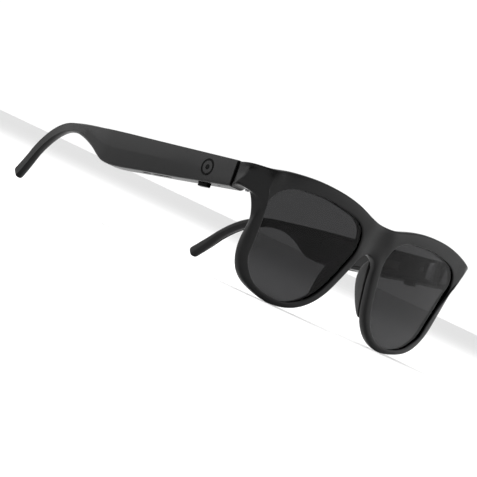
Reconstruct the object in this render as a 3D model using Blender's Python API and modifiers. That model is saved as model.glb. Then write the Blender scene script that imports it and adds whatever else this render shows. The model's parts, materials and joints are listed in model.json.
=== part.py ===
"""Smart glasses with a full-rim front and two hollow temples that carry their own electronics.

The glasses are drawn level, with the temples along +Y and the front facing -Y, and an empty then
pitches them so that the rims and the temple tips stand on the ground. All lengths are in millimetres
until MM turns them into metres. Everything is drawn for the wearer's left side, +X, and mirrored.
"""
import math

import bmesh
import bpy
import numpy as np
from mathutils import Vector

MM = 0.001
GAP = 0.3                 # clearance between pieces that touch on the real object

# Front: a curved, tilted plate around two lenses
FRONT_DEPTH = 4.2         # thickness of the rims, front to back
REAR_INSET = 0.4          # how far the rear's outer edge lies inside the front's
WRAP = 7.0                # how far the front curves back ...
WRAP_AT = 60.0            # ... at this distance from the centre
TILT = math.tan(math.radians(11.4))
TILT_FROM = 7.0           # height at which the tilted front crosses Y = 0
BRIDGE_SET_BACK = 1.4
GROOVE_FRONT = 0.6        # depth of the lens groove's front lip
LENS_THICK = 1.5
GROOVE_DEEP = 1.2
GROOVE_BACK = GROOVE_FRONT + LENS_THICK + 2 * GAP

# The edge of the lens opening, and the front's outer edge beside it, point by point, as (x, z)
OPENING = [(8.8, 34.0), (10.3, 38.9), (13.8, 42.1), (19.0, 43.8), (26.0, 44.6), (33.5, 45.2),
           (41.0, 44.8), (48.0, 44.0), (53.3, 42.2), (57.0, 38.8), (58.2, 34.0), (57.0, 28.5),
           (56.2, 23.0), (55.4, 17.5), (54.6, 12.6), (51.4, 8.2), (47.2, 4.8), (41.5, 2.8),
           (35.5, 2.1), (29.3, 2.5), (23.8, 4.6), (19.2, 8.2), (15.6, 13.2), (12.8, 19.3),
           (10.7, 25.0), (9.2, 29.6)]
OUTLINE = [(4.6, 38.0), (5.0, 45.6), (10.5, 46.9), (17.0, 48.6), (25.0, 49.9), (33.5, 50.5),
           (42.0, 50.5), (50.3, 49.8), (57.4, 48.7), (63.0, 47.3), (63.0, 39.8), (61.2, 34.2),
           (60.5, 27.6), (60.1, 21.2), (59.2, 14.2), (56.0, 7.7), (50.5, 3.3), (43.0, 0.8),
           (35.4, -0.4), (28.2, 0.2), (21.9, 2.4), (16.7, 6.1), (12.4, 11.4), (9.2, 18.2),
           (6.6, 24.8), (4.4, 30.2)]
BRIDGE_TOP, BRIDGE_MIDDLE, BRIDGE_BOTTOM = 45.5, 39.0, 33.4   # heights on the centre plane
BRIDGE_UPPER, BRIDGE_SIDE, BRIDGE_LOWER = 1, 0, 25            # outline points beside the bridge
END_UPPER, END_MIDDLE, END_LOWER = 9, 10, 11                  # outline points beside the end piece

# Nose pad: place along the outline, height behind the rim, flare away from the nose
PAD_STATIONS = [(25.3, 0.4, 0.0), (24.8, 4.6, 0.5), (24.0, 7.4, 1.3), (23.1, 6.6, 1.8),
                (22.2, 3.8, 1.4), (21.4, 0.9, 0.6)]

# End piece: the front's corner, which turns back to meet the temple
TEMPLE_OUTER_X = 69.7
TEMPLE_THICK = 7.5
TEMPLE_INNER_X = TEMPLE_OUTER_X - TEMPLE_THICK
SEAM_Y = 12.55
SEAM_GAP = 0.5
CORNER_X = 69.1
REAR_END_X = 63.4         # where the rear face ends beside the hinge
CORNER_YS = (5.4, 6.6, 8.0)     # where the end piece's slanted corner meets its straight side
CORNER_HEIGHTS = (46.9, 41.4, 37.0)
SEAM_HEIGHTS = (46.3, 41.0, 35.8)

# Temple: upper and lower edge, station by station, as (y, z)
TEMPLE_TOP = [(SEAM_Y + SEAM_GAP, 46.4), (30, 46.5), (50, 46.6), (66, 46.7), (78, 46.8), (83, 46.8),
              (87.5, 46.8), (91.5, 46.8), (95.5, 46.8), (100, 46.9), (104.5, 46.9), (110.5, 46.8),
              (116.5, 46.5), (122.3, 45.7), (127.7, 44.1), (132.7, 41.8), (137.5, 38.5),
              (142.0, 34.4), (146.0, 30.2), (149.7, 26.5), (153.0, 23.4), (154.2, 21.7)]
TEMPLE_BOTTOM = [(SEAM_Y + SEAM_GAP, 35.8), (30, 35.0), (50, 34.0), (66, 33.3), (78, 32.7),
                 (84.5, 32.7), (90.0, 33.5), (93.8, 35.2), (97.9, 37.5), (102.3, 39.5),
                 (106.7, 41.1), (111.8, 42.3), (116.6, 42.5), (121.4, 42.0), (126.0, 40.6),
                 (130.4, 38.5), (135.0, 35.4), (139.6, 31.4), (143.3, 26.6), (146.5, 22.7),
                 (149.5, 19.6), (151.8, 19.1)]
HOOK_THICK = 4.0
HOOK_TIP_THICK = 3.4
HOOK_NARROWS = (86.0, 116.0)
HOOK_BENDS_FROM = 111.0   # behind this the hook runs inward ...
HOOK_SLOPE = 0.25        # ... by this much for each millimetre back
HOOK_EASE = 6.0           # half the length over which the bend begins
LOWER_FACET_LEAN = 0.9
CREASE_HEIGHT = 0.49      # where the outer face's crease lies, as a share of the temple's height
TEMPLE_CORNER = 0.9

# Electronics bay inside the temple, closed by a cover on the inner side
WALL = 1.3
BAY_FRONT, BAY_REAR = 19.8, 83.0
OUTER_WALL = 1.1
BAY_OUTER_X = TEMPLE_OUTER_X - LOWER_FACET_LEAN - OUTER_WALL
COVER_THICK = 1.0
COVER_LAP = 0.8
SEAL_THICK = 0.4
BAY_INNER_X = TEMPLE_INNER_X + COVER_THICK + SEAL_THICK + 2 * GAP
BAY_MIDDLE_X = (BAY_INNER_X + BAY_OUTER_X) / 2
CELL_THICK = BAY_OUTER_X - BAY_INNER_X - GAP         # thickness of what fills the bay
BAY_TOP = TEMPLE_TOP[0][1] - WALL - COVER_LAP
UNDERSIDE_DROP = (35.8 - 32.7) / (78.0 - 13.2)       # slope of the temple's underside

# Hinge: three barrels inboard of the temple, on an upright pin
HINGE_X = 59.6
HINGE_LEAN = math.radians(5.0)    # the axes lean inward, so a folded temple slopes down
HINGE_Y = SEAM_Y + SEAM_GAP / 2
HINGE_MIDDLE_Z = 41.0
BARREL_RADIUS = 1.75
BARREL_BORE = 1.05
PIN_RADIUS = 0.75
PIN_HEAD_RADIUS = 1.3
PIN_HEAD_THICK = 0.7
MIDDLE_BARREL = 3.6
SIDE_BARREL = 1.7
HINGE_STACK = MIDDLE_BARREL + 2 * SIDE_BARREL + 2 * GAP    # height of all three barrels
LEAF_THICK = 0.9
LEAF_WEB = 2.6            # length of the web that joins a leaf to its barrel
LEAF_LENGTH = 4.2
LEAF_FROM_AXIS = 2.1
LEAF_SCREW_RADIUS = 0.6
LEAF_SCREW_LENGTH = 2.4

# Speaker: slots in the underside, a mesh over them and the driver above
SPEAKER_SLOTS = ((49.2, 60.2), (61.6, 66.6))
SLOT_WIDTH = 1.6
SPEAKER_Y = 58.0
MESH_LENGTH, MESH_THICK = 19.6, 0.4
DRIVER_LENGTH = 17.0

# Electronics, as places along the temple and sizes
SENSOR_RADIUS = 2.3
ANTENNA_Y, ANTENNA_SIZE = 40.5, (0.3, 12.0, 3.6)
BOARD_Y, BOARD_SIZE = 34.6, (0.8, 27.6, 3.2)
BATTERY_Y, BATTERY_LENGTH = 75.2, 14.6
MICROPHONE_Y, MICROPHONE_SIZE, MICROPHONE_PORT = 22.2, (2.4, 3.2, 1.1), 0.6
LAMP_PLACE, LAMP_RADIUS, LAMP_LENGTH = (23.4, 41.2), 0.9, 2.4
CONTACT_PLACE, CONTACT_SIZE = (40.0, 39.6), (1.6, 9.0, 4.0)

# Button under the temple, and the touch mark on its outer face
BUTTON_Y = 30.2
BUTTON_SIZE = (2.2, 5.4)
BUTTON_PROUD = 1.5
BUTTON_FLANGE = 0.6
BUTTON_LEDGE = 1.0        # thickness of the skin that the flange sits behind
BUTTON_TRAVEL = 0.4
MARK_Y, MARK_Z = 28.0, 40.9
MARK_RADIUS, MARK_STROKE, MARK_DEEP = 3.3, 0.6, 0.5
DOT_RADIUS = 0.9

# Pitch that brings the rims and the temple tips to the same height
RIM_FOOT = (6.7, -0.43)
TIP_FOOT = (150.9, 18.64)
PITCH = math.atan2(TIP_FOOT[1] - RIM_FOOT[1], TIP_FOOT[0] - RIM_FOOT[0])


def bay_floor_z(y):
    """Height of the electronics bay's floor."""
    return underside_z(y) + WALL + COVER_LAP


def smoothstep(low, high, value):
    t = min(max((value - low) / (high - low), 0.0), 1.0)
    return t * t * (3 - 2 * t)


def mix(a, b, t):
    return a + (b - a) * t


def front_y(x, z):
    """The front face's depth at a place on it."""
    return WRAP * (x / WRAP_AT) ** 2 - TILT * (z - TILT_FROM)


def underside_z(y):
    """Height of the temple's straight underside."""
    return TEMPLE_BOTTOM[0][1] - UNDERSIDE_DROP * (y - TEMPLE_BOTTOM[0][0])


# Scene, materials and helpers

def clear_scene():
    for obj in list(bpy.data.objects):
        bpy.data.objects.remove(obj, do_unlink=True)


def new_collection(name):
    collection = bpy.data.collections.new(name)
    bpy.context.scene.collection.children.link(collection)
    return collection


def make_material(name, colour, roughness, metallic=0.0, alpha=1.0):
    material = bpy.data.materials.new(name)
    material.use_nodes = True
    shader = material.node_tree.nodes["Principled BSDF"]
    shader.inputs["Base Color"].default_value = (*colour, 1.0)
    shader.inputs["Roughness"].default_value = roughness
    shader.inputs["Metallic"].default_value = metallic
    shader.inputs["Alpha"].default_value = alpha
    material.diffuse_color = (*colour, alpha)
    return material


clear_scene()
PARTS = new_collection("smart_glasses")
CUTTERS = new_collection("cutters")
MATERIALS = {
    "matte_black": make_material("matte_black", (0.022, 0.022, 0.023), 0.5),
    "tinted_lens": make_material("tinted_lens", (0.02, 0.02, 0.022), 0.06, alpha=0.6),
    "steel": make_material("steel", (0.45, 0.45, 0.46), 0.3, 1.0),
    "gloss_black": make_material("gloss_black", (0.01, 0.01, 0.01), 0.2),
    "rubber": make_material("rubber", (0.02, 0.02, 0.02), 0.8),
    "battery_wrap": make_material("battery_wrap", (0.35, 0.36, 0.4), 0.45),
    "board": make_material("board", (0.01, 0.09, 0.05), 0.5),
    "gold": make_material("gold", (0.83, 0.6, 0.25), 0.25, 1.0),
    "copper_film": make_material("copper_film", (0.6, 0.3, 0.12), 0.4, 0.6),
    "mesh_cloth": make_material("mesh_cloth", (0.03, 0.03, 0.03), 0.7),
    "light_guide": make_material("light_guide", (0.8, 0.82, 0.85), 0.2),
}


def add_empty(name, parent, location):
    empty = bpy.data.objects.new(name, None)
    empty.empty_display_size = 5 * MM
    PARTS.objects.link(empty)
    empty.parent = parent
    empty.location = Vector(location) * MM
    return empty


def add_mesh(name, bm, material, parent, location=(0, 0, 0), rotation=(0, 0, 0)):
    """Make an object of a bmesh drawn in millimetres about the given place."""
    bmesh.ops.scale(bm, vec=(MM, MM, MM), verts=bm.verts)
    bmesh.ops.recalc_face_normals(bm, faces=bm.faces)
    mesh = bpy.data.meshes.new(name)
    bm.to_mesh(mesh)
    bm.free()
    obj = bpy.data.objects.new(name, mesh)
    if material is None:
        CUTTERS.objects.link(obj)
        obj.hide_render = True
        obj.display_type = "WIRE"
    else:
        PARTS.objects.link(obj)
        mesh.materials.append(MATERIALS[material])
    obj.parent = parent
    obj.location = Vector(location) * MM
    obj.rotation_euler = rotation
    return obj


def round_edges(obj, width, angle=35.0):
    bevel = obj.modifiers.new("rounded_edges", "BEVEL")
    bevel.width = width * MM
    bevel.segments = 1
    bevel.limit_method = "ANGLE"
    bevel.angle_limit = math.radians(angle)
    return bevel


def block(name, size, material, parent, location, rotation=(0, 0, 0), rounding=0.0):
    bm = bmesh.new()
    bmesh.ops.create_cube(bm, size=1.0)
    bmesh.ops.scale(bm, vec=size, verts=bm.verts)
    obj = add_mesh(name, bm, material, parent, location, rotation)
    if rounding:
        round_edges(obj, rounding)
    return obj


AXIS_TURNS = {"x": (0, math.pi / 2, 0), "z": (0, 0, 0)}


def disc(name, radius, length, axis, material, parent, location, sides=20, bore=0.0):
    """A round bar, or with a bore a ring, centred on its location."""
    bm = bmesh.new()
    if bore:
        corners = [bm.verts.new((r, 0, h)) for r, h in
                   ((bore, -length / 2), (radius, -length / 2), (radius, length / 2),
                    (bore, length / 2))]
        edges = [bm.edges.new((corners[i - 1], corners[i])) for i in range(4)]
        bmesh.ops.spin(bm, geom=corners + edges, cent=(0, 0, 0), axis=(0, 0, 1),
                       angle=2 * math.pi, steps=sides)
        bmesh.ops.remove_doubles(bm, verts=bm.verts, dist=0.01)
    else:
        bmesh.ops.create_cone(bm, cap_ends=True, segments=sides, radius1=radius, radius2=radius,
                              depth=length)
    return add_mesh(name, bm, material, parent, location, AXIS_TURNS[axis])


def boolean(obj, operation, *others):
    for other in others:
        modifier = obj.modifiers.new(other.name, "BOOLEAN")
        modifier.operation = operation
        modifier.object = other
        modifier.solver = "EXACT"


def cut(obj, *cutters):
    boolean(obj, "DIFFERENCE", *cutters)


def side_plate(name, outline, thickness, material, parent, x, hole=None):
    """A flat outline in the Y-Z plane, drawn as a filled curve and made a welded mesh."""
    curve = bpy.data.curves.new(name, "CURVE")
    curve.dimensions = "2D"
    curve.fill_mode = "BOTH"
    curve.extrude = thickness / 2 * MM
    for loop in [outline] + ([hole] if hole else []):
        spline = curve.splines.new("POLY")
        spline.points.add(len(loop) - 1)
        for point, (y, z) in zip(spline.points, loop):
            point.co = (y * MM, z * MM, 0.0, 1.0)
        spline.use_cyclic_u = True
    drawn = bpy.data.objects.new(name + "_outline", curve)
    CUTTERS.objects.link(drawn)
    bpy.context.view_layer.update()
    graph = bpy.context.evaluated_depsgraph_get()
    mesh = bpy.data.meshes.new_from_object(drawn.evaluated_get(graph))
    bpy.data.objects.remove(drawn, do_unlink=True)
    bm = bmesh.new()
    bm.from_mesh(mesh)
    bpy.data.meshes.remove(mesh)
    bmesh.ops.remove_doubles(bm, verts=bm.verts, dist=0.02 * MM)
    bmesh.ops.scale(bm, vec=(1 / MM, 1 / MM, 1 / MM), verts=bm.verts)
    return add_mesh(name, bm, material, parent, (x, 0, 0), (math.pi / 2, 0, math.pi / 2))


# Front frame

def control_chain(points):
    """Control points whose smooth subdivision passes through the given open chain of points."""
    points = np.array(points, float)
    count = len(points)
    weights = np.eye(count)
    for i in range(1, count - 1):
        weights[i, i - 1:i + 2] = (1 / 6, 4 / 6, 1 / 6)
    return np.linalg.solve(weights, points)


def control_ring(points):
    """The same for a closed ring of points."""
    points = np.array(points, float)
    count = len(points)
    weights = np.zeros((count, count))
    for i in range(count):
        weights[i, i] = 4 / 6
        weights[i, (i + 1) % count] = 1 / 6
        weights[i, i - 1] = 1 / 6
    return np.linalg.solve(weights, points)


def grown(outline, distance):
    """A closed outline moved outward by a distance."""
    points = [Vector(p) for p in outline]
    centre = sum(points, Vector((0, 0))) / len(points)
    moved = []
    for i, point in enumerate(points):
        along = points[(i + 1) % len(points)] - points[i - 1]
        outward = Vector((along.y, -along.x)).normalized()
        if outward.dot(point - centre) < 0:
            outward.negate()
        moved.append(tuple(point + outward * distance))
    return moved


def on_front(outline, depth):
    return [(x, front_y(x, z) + depth, z) for x, z in outline]


def edge_outline(depth):
    """The outline of the front face or of the rear face, which leaves the hinge leaf room."""
    if depth == 0:
        return OUTLINE
    outline = grown(OUTLINE, -REAR_INSET)
    for i in (END_UPPER, END_MIDDLE, END_LOWER):
        outline[i] = (REAR_END_X, outline[i][1])
    return outline


def front_chains(depth):
    """Upper and lower outer edge of the front, centre to seam, at the front or the rear face."""
    back = BRIDGE_SET_BACK
    rear = depth > 0
    outline = edge_outline(depth)
    corner_x = TEMPLE_INNER_X + 0.3 if rear else CORNER_X
    seam_x = TEMPLE_INNER_X if rear else TEMPLE_OUTER_X
    corner = [(corner_x, y + (2.2 if rear else 0.0), z) for y, z in zip(CORNER_YS, CORNER_HEIGHTS)]
    seam = [(seam_x, SEAM_Y, z) for z in SEAM_HEIGHTS]
    upper = [(0, front_y(0, BRIDGE_TOP) + back + depth, BRIDGE_TOP)]
    upper += on_front(outline[BRIDGE_UPPER:END_UPPER + 1], depth) + [corner[0], seam[0]]
    lower = [seam[2], corner[2]] + on_front(outline[END_LOWER:BRIDGE_LOWER + 1], depth)
    lower += [(0, front_y(0, BRIDGE_BOTTOM) + back + depth, BRIDGE_BOTTOM)]
    return control_chain(upper), control_chain(lower), [corner[1], seam[1]]


class FrontCage:
    """Coarse cage of the front's left half: a grooved ring round the lens, with the bridge drawn
    out to the centre plane and the end piece drawn out to the seam."""

    def __init__(self):
        self.bm = bmesh.new()
        self.crease = self.bm.edges.layers.float.new("crease_edge")
        self.count = len(OPENING)

    def verts(self, points):
        return [self.bm.verts.new(Vector(p)) for p in points]

    def strip(self, a, b, skip=()):
        for i in range(self.count):
            if i not in skip:
                j = (i + 1) % self.count
                self.bm.faces.new((a[i], a[j], b[j], b[i]))

    def sharpen(self, path, amount, closed=False):
        for a, b in zip(path, path[1:] + ([path[0]] if closed else [])):
            edge = self.bm.edges.get((a, b))
            if edge:
                edge[self.crease] = amount

    def outer_ring(self, depth):
        """The outer edge's vertices, with the bridge's and the end piece's own."""
        upper, lower, middle = front_chains(depth)
        upper, lower = self.verts(upper), self.verts(lower)
        corner_middle, seam_middle = self.verts(middle)
        outline = edge_outline(depth)
        side, end = self.verts(on_front([outline[BRIDGE_SIDE], outline[END_MIDDLE]], depth))
        side.co.y += BRIDGE_SET_BACK * 0.4
        centre = self.verts([(0, front_y(0, BRIDGE_MIDDLE) + BRIDGE_SET_BACK + depth,
                              BRIDGE_MIDDLE)])[0]
        ring = [side] + upper[1:-2] + [end] + lower[2:-1]
        return {"ring": ring, "bridge": [lower[-1], centre, upper[0]],
                "corner": [upper[-2], corner_middle, lower[1]],
                "seam": [upper[-1], seam_middle, lower[0]]}

    def build(self):
        front = self.outer_ring(0.0)
        rear = self.outer_ring(FRONT_DEPTH)
        lips = {depth: self.verts(control_ring(on_front(OPENING, depth)))
                for depth in (0.0, GROOVE_FRONT, GROOVE_BACK, FRONT_DEPTH)}
        groove = {depth: self.verts(control_ring(on_front(grown(OPENING, GROOVE_DEEP), depth)))
                  for depth in (GROOVE_FRONT, GROOVE_BACK)}
        rings = [front["ring"], lips[0.0], lips[GROOVE_FRONT], groove[GROOVE_FRONT],
                 groove[GROOVE_BACK], lips[GROOVE_BACK], lips[FRONT_DEPTH], rear["ring"]]
        for a, b in zip(rings, rings[1:]):
            self.strip(a, b)
        self.strip(rear["ring"], front["ring"],
                   skip=(BRIDGE_LOWER, BRIDGE_SIDE, END_UPPER, END_MIDDLE))
        bridge_at = (BRIDGE_LOWER, BRIDGE_SIDE, BRIDGE_UPPER)
        end_at = (END_UPPER, END_MIDDLE, END_LOWER)
        self.draw_out([front["ring"][i] for i in bridge_at], [rear["ring"][i] for i in bridge_at],
                      [front["bridge"]], [rear["bridge"]], closed=False)
        self.draw_out([front["ring"][i] for i in end_at], [rear["ring"][i] for i in end_at],
                      [front["corner"], front["seam"]], [rear["corner"], rear["seam"]], closed=True)
        self.sharpen(lips[0.0], 0.62, closed=True)
        for ring in (lips[GROOVE_FRONT], groove[GROOVE_FRONT], groove[GROOVE_BACK],
                     lips[GROOVE_BACK]):
            self.sharpen(ring, 1.0, closed=True)
        self.sharpen(lips[FRONT_DEPTH], 0.6, closed=True)
        for edge, amount in ((front, 0.42), (rear, 0.42)):
            ring, corner, seam = edge["ring"], edge["corner"], edge["seam"]
            self.sharpen([edge["bridge"][2]] + ring[1:END_UPPER + 1] + [corner[0], seam[0]], amount)
            self.sharpen([seam[2], corner[2]] + ring[END_LOWER:] + [edge["bridge"][0]], amount)
            self.sharpen(ring[END_UPPER:END_LOWER + 1], 0.22)
            self.sharpen(seam, 0.85)
        for i in (0, 2):
            self.sharpen([front["seam"][i], rear["seam"][i]], 0.85)
        return self.bm

    def draw_out(self, front, rear, front_rows, rear_rows, closed):
        """Continue the front and rear faces from three outline points through further rows."""
        for next_front, next_rear in zip(front_rows, rear_rows):
            for i in (0, 1):
                self.bm.faces.new((front[i], front[i + 1], next_front[i + 1], next_front[i]))
                self.bm.faces.new((rear[i], rear[i + 1], next_rear[i + 1], next_rear[i]))
            for i in (0, 2):
                self.bm.faces.new((front[i], rear[i], next_rear[i], next_front[i]))
            front, rear = next_front, next_rear
        if closed:
            for i in (0, 1):
                self.bm.faces.new((front[i], front[i + 1], rear[i + 1], rear[i]))


def build_front(parent):
    frame = add_mesh("front_frame", FrontCage().build(), "matte_black", parent)
    mirror = frame.modifiers.new("other_half", "MIRROR")
    mirror.use_axis[0] = True
    mirror.use_clip = True
    mirror.merge_threshold = 0.00005
    smooth = frame.modifiers.new("smooth", "SUBSURF")
    smooth.levels = 1
    smooth.render_levels = 1
    return frame


def build_lens(name, side, parent):
    """A curved plate whose rim sits in the frame's groove."""
    edge = grown(OPENING, GROOVE_DEEP - GAP)
    centre = Vector((sum(x for x, z in edge), sum(z for x, z in edge))) / len(edge)
    bm = bmesh.new()
    faces = []
    for depth in (GROOVE_FRONT + GAP, GROOVE_FRONT + GAP + LENS_THICK):
        rings = []
        for share in (0.4, 0.75, 1.0):
            ring = []
            for x, z in edge:
                px, pz = centre.x + (x - centre.x) * share, centre.y + (z - centre.y) * share
                ring.append(bm.verts.new((side * px, front_y(px, pz) + depth, pz)))
            rings.append(ring)
        hub = bm.verts.new((side * centre.x, front_y(centre.x, centre.y) + depth, centre.y))
        faces.append((hub, rings))
    count = len(edge)
    for hub, rings in faces:
        for i in range(count):
            j = (i + 1) % count
            bm.faces.new((hub, rings[0][i], rings[0][j]))
            for a, b in zip(rings, rings[1:]):
                bm.faces.new((a[i], a[j], b[j], b[i]))
    for i in range(count):
        j = (i + 1) % count
        near, far = faces[0][1][-1], faces[1][1][-1]
        bm.faces.new((near[i], near[j], far[j], far[i]))
    return add_mesh(name, bm, "tinted_lens", parent)


def outline_at(outline, position):
    """A point between two neighbours of an outline."""
    low = int(math.floor(position))
    a, b = Vector(outline[low]), Vector(outline[(low + 1) % len(outline)])
    return a.lerp(b, position - low)


def build_nose_pad(name, side, parent):
    """A moulded pad behind the nasal rim."""
    bm = bmesh.new()
    crease = bm.edges.layers.float.new("crease_edge")
    rows = []
    for position, height, flare in PAD_STATIONS:
        nasal = outline_at(OUTLINE, position)
        lens = outline_at(OPENING, position)
        nasal = nasal.lerp(lens, 0.08)
        lens = lens.lerp(nasal, 0.18)
        row = []
        for point, shift, rise in ((nasal, 0, 0), (lens, 0, 0), (lens, flare * 0.3, height * 0.8),
                                   (nasal, flare, height + 0.4)):
            x = point.x + shift
            depth = FRONT_DEPTH + GAP + rise
            row.append(bm.verts.new((side * x, front_y(point.x, point.y) + depth, point.y)))
        rows.append(row)
    for a, b in zip(rows, rows[1:]):
        for i in range(4):
            bm.faces.new((a[i], a[(i + 1) % 4], b[(i + 1) % 4], b[i]))
    for end in (rows[0], rows[-1]):
        bm.faces.new(end)
    for edge in bm.edges:
        if all(any(v is row[0] or v is row[1] for row in rows) for v in edge.verts):
            edge[crease] = 0.8
    pad = add_mesh(name, bm, "rubber", parent)
    smooth = pad.modifiers.new("smooth", "SUBSURF")
    smooth.levels = 1
    smooth.render_levels = 1
    return pad


# Temple

def hook_inward(y):
    """How far the temple's centre line has moved inward at a place along it."""
    past = y - HOOK_BENDS_FROM
    if past < -HOOK_EASE:
        return 0.0
    if past < HOOK_EASE:
        return HOOK_SLOPE * (past + HOOK_EASE) ** 2 / (4 * HOOK_EASE)
    return HOOK_SLOPE * past


def temple_section(top, bottom, side, last):
    """Outline of the temple's section between an upper and a lower edge point."""
    top, bottom = Vector((0, *top)), Vector((0, *bottom))
    height = (top - bottom).length
    up = (top - bottom) / height
    hook = smoothstep(*HOOK_NARROWS, top.y)
    thick = HOOK_TIP_THICK if last else mix(TEMPLE_THICK, HOOK_THICK, hook)
    corner = mix(TEMPLE_CORNER, min(thick, height) * 0.34, hook)
    centre = TEMPLE_OUTER_X - TEMPLE_THICK / 2 - hook_inward((top.y + bottom.y) / 2)
    outer, inner = centre + thick / 2, centre - thick / 2
    lean = mix(LOWER_FACET_LEAN * smoothstep(14.0, 46.0, top.y), 0.0, hook)
    crease = height * CREASE_HEIGHT
    corners = [(outer - corner, height), (outer, height - corner), (outer, crease),
               (outer - lean, corner), (outer - lean - corner, 0), (inner + corner, 0),
               (inner, corner), (inner, height - corner), (inner + corner, height)]
    return [bottom + up * h + Vector((side * x, 0, 0)) for x, h in corners]


def build_housing(name, side, parent, origin):
    bm = bmesh.new()
    rows = []
    for i, (top, bottom) in enumerate(zip(TEMPLE_TOP, TEMPLE_BOTTOM)):
        last = i == len(TEMPLE_TOP) - 1
        section = temple_section(top, bottom, side, last)
        rows.append([bm.verts.new(point - origin) for point in section])
    for a, b in zip(rows, rows[1:]):
        for i in range(len(a)):
            j = (i + 1) % len(a)
            bm.faces.new((a[i], a[j], b[j], b[i]))
    bm.faces.new(rows[0])
    bm.faces.new(rows[-1])
    return add_mesh(name, bm, "matte_black", parent)


def bay_outline(grow):
    """The bay's edge in the Y-Z plane, parallel to the temple's edges."""
    top = BAY_TOP + grow
    front, rear = BAY_FRONT - grow, BAY_REAR + grow
    rise = WALL + COVER_LAP - grow
    return [(front, underside_z(front) + rise), (rear, underside_z(rear) + rise),
            (rear, top), (front, top)]


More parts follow.
